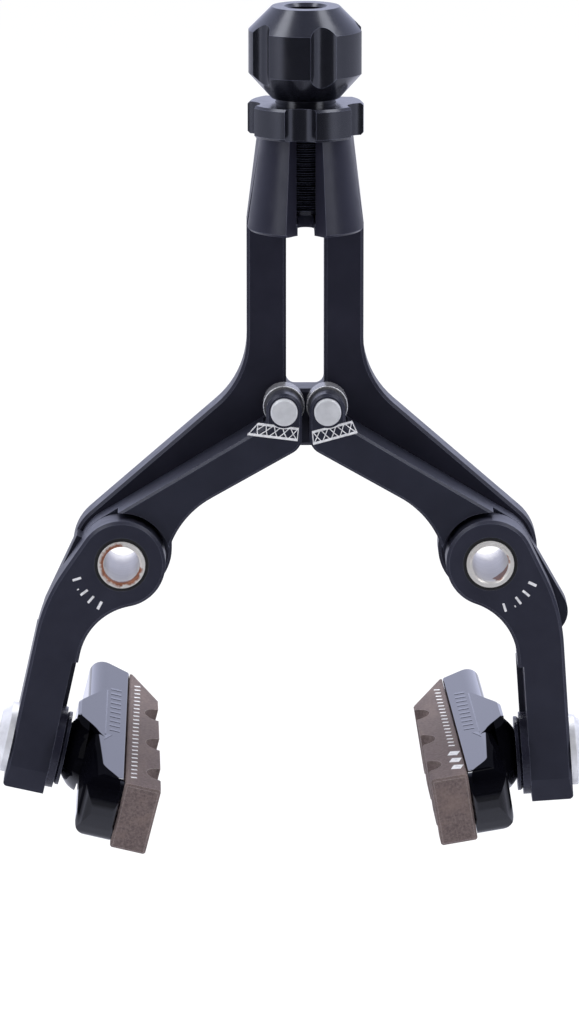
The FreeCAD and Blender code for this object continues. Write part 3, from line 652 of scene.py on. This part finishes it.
clearPick()
floorHeight = cadBox[0][2] - stageLook["floorBelow"]
bpy.ops.mesh.primitive_plane_add(size=stageLook["floorSize"], location=(0, 0, floorHeight))
floor = bpy.context.object
floor.name = "studioFloor"
mat, tree, shader, place = startMaterial("paleFloor")
mottle = noiseOn(tree, place, stageLook["floorCloud"])
pale = stageLook["floorColour"]
colourOn(tree, shader, toneOn(tree, mottle, dulled(pale, stageLook["floorDull"]), pale))
shader.inputs["Roughness"].default_value = stageLook["floorRough"]
path = tree.nodes.new("ShaderNodeLightPath")
cameraRay = path.outputs["Is Camera Ray"]
seen = mathOn(tree, "MAXIMUM", cameraRay, path.outputs["Is Glossy Ray"])
seen = mathOn(tree, "MAXIMUM", seen, path.outputs["Is Transmission Ray"])
share = mathOn(tree, "MULTIPLY", seen, stageLook["floorShare"])
split = tree.nodes.new("ShaderNodeSeparateXYZ")
tree.links.new(place, split.inputs["Vector"])
(dark, front), (light, back) = stageLook["floorDark"], stageLook["floorPale"]
mirrored = rangeOn(tree, split.outputs["Y"], dark, light, front, back)   # the room before the table is dark
level, slope, near, far = stageLook["floorSide"]
outer, fadeFrom, fadeTo = stageLook["floorFade"]
aside = mathOn(tree, "ABSOLUTE", split.outputs["X"], 0.0)
aside = mathOn(tree, "ADD", aside, mathOn(tree, "MULTIPLY", split.outputs["Y"], slope))
wing = rangeOn(tree, aside, 0.0, level, near, far)
wing = mathOn(tree, "MULTIPLY", wing, rangeOn(tree, aside, 1.0, outer, fadeFrom, fadeTo))
mirrored = mathOn(tree, "MAXIMUM", mirrored, wing)
straight = mathOn(tree, "MULTIPLY", cameraRay, stageLook["floorWhite"])
mirrored = mathOn(tree, "MULTIPLY", mathOn(tree, "SUBTRACT", 1.0, cameraRay), mirrored)
glow = tree.nodes.new("ShaderNodeEmission")
tree.links.new(mixColours(tree, cameraRay, stageLook["mirrorTint"], white), glow.inputs["Color"])
tree.links.new(mathOn(tree, "ADD", straight, mirrored), glow.inputs["Strength"])
mixShaders(tree, share, shader.outputs["BSDF"], glow.outputs["Emission"], "Material Output")
floor.data.materials.append(mat)

world = bpy.data.worlds.new("studioWorld")
bpy.context.scene.world = world
world.use_nodes = True
tree = world.node_tree
sky = tree.nodes["Background"]
sky.inputs["Strength"].default_value = stageLook["skyStrength"]
place = tree.nodes.new("ShaderNodeTexCoord")
split = tree.nodes.new("ShaderNodeSeparateXYZ")
tree.links.new(place.outputs["Generated"], split.inputs["Vector"])
rise = mathOn(tree, "MULTIPLY", split.outputs["Z"], stageLook["skyRise"])
depth = mathOn(tree, "ADD", split.outputs["Y"], rise)
tent = rangeOn(tree, depth, 0.0, 1.0, *stageLook["skyBand"])
tree.links.new(mixColours(tree, tent, stageLook["skyFront"], stageLook["skyBright"]), sky.inputs["Color"])
backdrop = tree.nodes.new("ShaderNodeBackground")
backdrop.inputs["Color"].default_value = (*white, 1.0)
path = tree.nodes.new("ShaderNodeLightPath")
cameraRay = path.outputs["Is Camera Ray"]
mixShaders(tree, cameraRay, sky.outputs["Background"], backdrop.outputs["Background"], "World Output")

lampSet = {   # place, width, height, power
    "keyLeft": ((-0.88, -0.60, 0.45), 0.45, 0.9, 4.2),
    "fillRight": ((0.86, -0.61, 0.45), 0.45, 0.9, 3.8),
    "overLeft": ((-0.70, -0.10, 1.05), 0.6, 0.6, 3.4),
    "overRight": ((0.70, -0.10, 1.05), 0.6, 0.6, 3.2),
    "topBack": ((0.0, 0.50, 0.90), 0.9, 0.6, 10.0),
}
lampAim = Vector((0, -0.014, 0.02))   # the middle of the object
for name, (spot, width, height, power) in lampSet.items():
    lamp = bpy.data.lights.new(name, "AREA")
    lamp.shape = "RECTANGLE"
    lamp.size = width
    lamp.size_y = height
    lamp.energy = power
    lampObject = bpy.data.objects.new(name, lamp)
    bpy.context.scene.collection.objects.link(lampObject)
    lampObject.location = spot
    lampObject.rotation_euler = (lampAim - Vector(spot)).to_track_quat("-Z", "Y").to_euler()

shot = {
    "aim": (-2.77, -21.3, 9.1),
    "distance": 1.2,
    "elevation": 12.4,
    "turn": -0.6,
    "lens": 251.5,
    "sensor": 36.0,
    "clipEnd": 50.0,
}
tilt = math.radians(shot["elevation"])
turn = math.radians(shot["turn"])
camera = bpy.data.cameras.new("photoCamera")
camera.lens = shot["lens"]
camera.sensor_width = shot["sensor"]
camera.clip_end = shot["clipEnd"]
cameraObject = bpy.data.objects.new("photoCamera", camera)
bpy.context.scene.collection.objects.link(cameraObject)
aim = Vector(shot["aim"]) * mm
away = Vector((math.sin(turn) * math.cos(tilt), -math.cos(turn) * math.cos(tilt), math.sin(tilt)))
cameraObject.location = aim + away * shot["distance"]
cameraObject.rotation_euler = (math.pi / 2 - tilt, 0, turn)
bpy.context.scene.camera = cameraObject
bpy.context.scene.view_settings.view_transform = "Standard"
print("stage ready")


# printed hatch bands under the roller pins

hatch = {
    "front": -18.53,          # just proud of the link's face
    "leftCorners": ((-7.98, 23.75), (-1.25, 22.85), (-1.45, 20.72), (-9.75, 21.76)),
    "rightCorners": ((7.71, 24.05), (1.10, 22.30), (1.30, 20.08), (8.60, 22.07)),
    "cells": 5,
    "longEdge": 4.0,          # an edge of the band longer than this is divided into the cells
    "crossBar": 1.8,          # an edge between two cells is longer than this
    "line": 0.16,
    "border": 0.34,
    "borderThick": 0.06,
    "pinRing": 2.92,          # radius that is kept clear round the pin
    "pinRingDepth": 4.0,
    "pinRingSteps": 48,
    "flat": 0.3,              # what is left of the ink's thickness, pressed towards a layer behind the front
    "flatBehind": 0.02,
}


def strip(name, corners):
    front = hatch["front"] * mm
    clearPick()
    bpy.ops.mesh.primitive_plane_add(size=2 * mm, rotation=(math.pi / 2, 0, 0), location=(0, front, 0))
    piece = bpy.context.object
    piece.name = name
    bpy.ops.object.transform_apply(location=True, rotation=True, scale=True)
    order = sorted(piece.data.vertices, key=lambda v: (v.co.z < 0, v.co.x if v.co.z > 0 else -v.co.x))
    for vertex, (x, z) in zip(order, corners):
        vertex.co = (x * mm, front, z * mm)
    return piece


def pickEdges(piece, wanted):   # by an edge's length and its newest vertex
    bpy.ops.object.mode_set(mode="EDIT")
    bpy.ops.mesh.select_mode(type="EDGE")
    bpy.ops.mesh.select_all(action="DESELECT")
    bpy.ops.object.mode_set(mode="OBJECT")
    for edge in piece.data.edges:
        first, last = (piece.data.vertices[i].co for i in edge.vertices)
        edge.select = wanted((first - last).length, max(edge.vertices))
    bpy.ops.object.mode_set(mode="EDIT")


def hatchLattice(name, corners):
    band = strip(name, corners)
    pickEdges(band, lambda length, newest: length > hatch["longEdge"] * mm)
    bpy.ops.mesh.subdivide(number_cuts=hatch["cells"] - 1)
    bpy.ops.mesh.select_mode(type="FACE")
    bpy.ops.mesh.select_all(action="SELECT")
    bpy.ops.mesh.poke()
    pickEdges(band, lambda length, newest: length > hatch["crossBar"] * mm and newest >= len(corners))
    bpy.ops.mesh.dissolve_edges(use_verts=False)   # the cross bars between the cells go, the diagonals stay
    bpy.ops.object.mode_set(mode="OBJECT")
    return band


def clearOfPin(piece, side):
    clearPick()
    bpy.ops.mesh.primitive_cylinder_add(vertices=hatch["pinRingSteps"], radius=hatch["pinRing"] * mm,
                                        depth=hatch["pinRingDepth"] * mm, rotation=(math.pi / 2, 0, 0),
                                        location=pinSpot(side, hatch["front"]))
    ring = bpy.context.object
    cut = piece.modifiers.new("pinRing", "BOOLEAN")
    cut.operation = "DIFFERENCE"
    cut.object = ring
    cut.solver = "EXACT"
    applyModifier(piece, cut)
    bpy.data.objects.remove(ring, do_unlink=True)


def hatchBand(side, corners):
    band = hatchLattice(side + "HatchBand", corners)
    clearOfPin(band, side)
    lattice = band.modifiers.new("lattice", "WIREFRAME")
    lattice.thickness = hatch["line"] * mm
    lattice.use_even_offset = True
    lattice.use_boundary = True
    applyModifier(band, lattice)
    topLeft, topRight, lowRight, lowLeft = corners
    wide = hatch["border"]
    top = strip(side + "Top", (topLeft, topRight, (topRight[0], topRight[1] - wide), (topLeft[0], topLeft[1] - wide)))
    clearOfPin(top, side)
    low = strip(side + "Low", ((lowLeft[0], lowLeft[1] + wide), (lowRight[0], lowRight[1] + wide), lowRight, lowLeft))
    for border in (top, low):
        thicken(border, hatch["borderThick"])
    band = joinAll([band, top, low], side + "HatchBand")
    layer = (hatch["front"] + hatch["flatBehind"]) * mm
    bpy.ops.object.mode_set(mode="EDIT")
    bpy.ops.mesh.select_all(action="SELECT")
    bpy.ops.transform.resize(value=(1, hatch["flat"], 1), center_override=(0, layer, 0))   # ink lies flat
    bpy.ops.object.mode_set(mode="OBJECT")
    return band


for side in signOf:
    band = hatchBand(side, hatch[side + "Corners"])
    settle(band, printWhite)
    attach(band, side + "_arm")
print("hatch bands done")


# bright wire ring on the front of each roller, a painted highlight along its front edge

rollerRim = {"radius": 3.37, "wire": 0.12, "front": -14.10, "steps": 96, "wireSteps": 12}
# the ring's bright steel is a painted highlight on the roller's edge
rimHighlight = brightSteel("polishedRollerRim", (0.86, 0.865, 0.88), 0.28, 0.5)


def rimRing(name):   # the wire's section, spun round the axis of the left pin
    axis = Vector(pinSpot("left", rollerRim["front"]))
    clearPick()
    bpy.ops.mesh.primitive_circle_add(vertices=rollerRim["wireSteps"], radius=rollerRim["wire"] * mm,
                                      location=axis + Vector((rollerRim["radius"] * mm, 0, 0)))
    ring = bpy.context.object
    ring.name = name
    bpy.ops.object.transform_apply(location=True, rotation=True, scale=True)
    bpy.ops.object.mode_set(mode="EDIT")
    bpy.ops.mesh.select_all(action="SELECT")
    bpy.ops.mesh.spin(steps=rollerRim["steps"], angle=2 * math.pi, center=axis, axis=(0, 1, 0))
    bpy.ops.object.mode_set(mode="OBJECT")
    mergeDoubles(ring)
    return ring


leftRim = rimRing("leftRollerRim")
rightRim = copyOf(leftRim, "rightRollerRim")
rightRim.location.x = 2 * pinPlace[0] * mm   # from the left pin to the right one
for side, rim in (("left", leftRim), ("right", rightRim)):
    settle(rim, rimHighlight)
    bpy.ops.object.shade_smooth()
    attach(rim, side + "_roller")
print("roller rims done")


# return springs: a merged copy of each coil, which sits between the frame and the arm in place of the hidden one

for side in signOf:
    coilName = side + "_return_spring"
    spring = copyOf(nodes[coilName], side + "TwistSpring")
    bpy.ops.object.parent_clear(type="CLEAR_KEEP_TRANSFORM")
    del spring["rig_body"], spring["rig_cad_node"]   # the copy is a piece of its own
    mergeDoubles(spring)
    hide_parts(coilName)
    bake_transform(spring)
print("return springs done")


# plain bars used for the printed marks and the moulded arrow

def bar(place, size, turn=(0, 0, 0)):
    clearPick()
    bpy.ops.mesh.primitive_cube_add(size=1, location=inMetres(place), rotation=turn)
    piece = bpy.context.object
    piece.scale = inMetres(size)
    bpy.ops.object.transform_apply(location=True, rotation=True, scale=True)
    return piece


def barRow(across, first, last, pitch, top, size, slant=0.0):
    bars = []
    spot = first
    while spot < last:
        bars.append(bar((across, spot, top), size, (0, 0, slant)))
        spot += pitch
    return bars


pivotMarks = {
    "front": -21.0,
    "radius": 7.9,
    "height": 1.5,
    "thick": 0.04,
    "width": (0.34, 0.1),     # a bar is as wide as the first times its tick's width, and the second
    "dotWidth": 0.4,          # a tick that is narrower than this is a dot
    "dotHeight": 0.35,
    "dotOut": 0.55,           # how much farther out a dot sits
    "leftTicks": ((198, 0.9), (210, 0.35), (217, 0.9), (229, 0.9), (242, 1.1)),     # angle, width
    "rightTicks": ((288, 0.9), (300, 0.35), (307, 0.9), (320, 0.9), (334, 1.1)),
}

for side, sign in signOf.items():
    bars = []
    share, extra = pivotMarks["width"]
    for angle, width in pivotMarks[side + "Ticks"]:
        way = math.radians(angle)
        dot = width < pivotMarks["dotWidth"]
        tall = pivotMarks["dotHeight"] if dot else pivotMarks["height"]
        reach = pivotMarks["radius"] + (pivotMarks["dotOut"] if dot else 0)
        spot = (sign * pivotX + reach * math.cos(way), pivotMarks["front"], reach * math.sin(way))
        bars.append(bar(spot, (tall, pivotMarks["thick"], share * width + extra), (0, -way, 0)))
    marks = joinAll(bars, side + "PivotMarks")
    settle(marks, printWhite)
    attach(marks, side + "_arm")
print("pivot marks done")


# marks on the shoes, drawn flat in the shoe's own frame and then set with it

def setOnShoe(piece, side, material):
    piece.matrix_world = shoeMatrix(side)
    settle(piece, material)
    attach(piece, side + "_arm")


padMarks = {
    "top": 5.9,
    "across": 4.05,
    "to": 22.0,
    "pitch": 1.75,
    "size": (1.05, 0.45, 0.05),
    "slant": 0.35,
    "left": {"from": -21.5, "large": ()},
    "right": {"from": -9.5, "large": (-20.5, -17.0, -13.5)},   # three heavier bars at the near end
    "largeSize": (1.7, 1.9, 0.05),
}
arrow = {
    "top": 5.6,
    "thick": 0.10,
    "lineX": -1.1,
    "lineFrom": -4.5,
    "lineTo": 16.5,
    "lineWidth": 0.22,
    "head": ((-1.21, -6.6), (0.1, -3.9), (-1.21, -3.9)),   # half an arrow head
    "barX": 0.45,
    "barFrom": -1.5,
    "barTo": 17.5,
    "barPitch": 2.1,
    "barSize": (1.8, 0.75),
}
# the moulded arrow is painted paler than the holder's black, a painted highlight on its raised edges
arrowHighlightGloss = glossBlack("glossBlackRelief", (0.10, 0.105, 0.135), glossLook)


def padDashes(side):
    top, across, slant = padMarks["top"], padMarks["across"], padMarks["slant"]
    bars = barRow(across, padMarks[side]["from"], padMarks["to"], padMarks["pitch"], top, padMarks["size"], slant)
    for spot in padMarks[side]["large"]:
        bars.append(bar((across, spot, top), padMarks["largeSize"], (0, 0, slant)))
    return bars


def arrowHead():
    clearPick()
    bpy.ops.mesh.primitive_circle_add(vertices=len(arrow["head"]), radius=mm, fill_type="NGON")
    head = bpy.context.object
    for vertex, (x, y) in zip(head.data.vertices, arrow["head"]):
        vertex.co = (x * mm, y * mm, arrow["top"] * mm)
    thicken(head, arrow["thick"])
    return head


def arrowBars():
    halfway = (arrow["lineFrom"] + arrow["lineTo"]) / 2
    lineSize = (arrow["lineWidth"], arrow["lineTo"] - arrow["lineFrom"], arrow["thick"])
    line = bar((arrow["lineX"], halfway, arrow["top"]), lineSize)
    barSize = (*arrow["barSize"], arrow["thick"])
    return [line] + barRow(arrow["barX"], arrow["barFrom"], arrow["barTo"], arrow["barPitch"], arrow["top"], barSize)


leftDashes = joinAll(padDashes("left"), "leftPadMarks")
leftArrow = joinAll(arrowBars() + [arrowHead()], "leftShoeArrow")
rightDashes = joinAll(padDashes("right"), "rightPadMarks")
rightArrow = copyOf(leftArrow, "rightShoeArrow")
for side, dashes, relief in (("left", leftDashes, leftArrow), ("right", rightDashes, rightArrow)):
    setOnShoe(dashes, side, printWhite)
    setOnShoe(relief, side, arrowHighlightGloss)
print("shoe marks done")
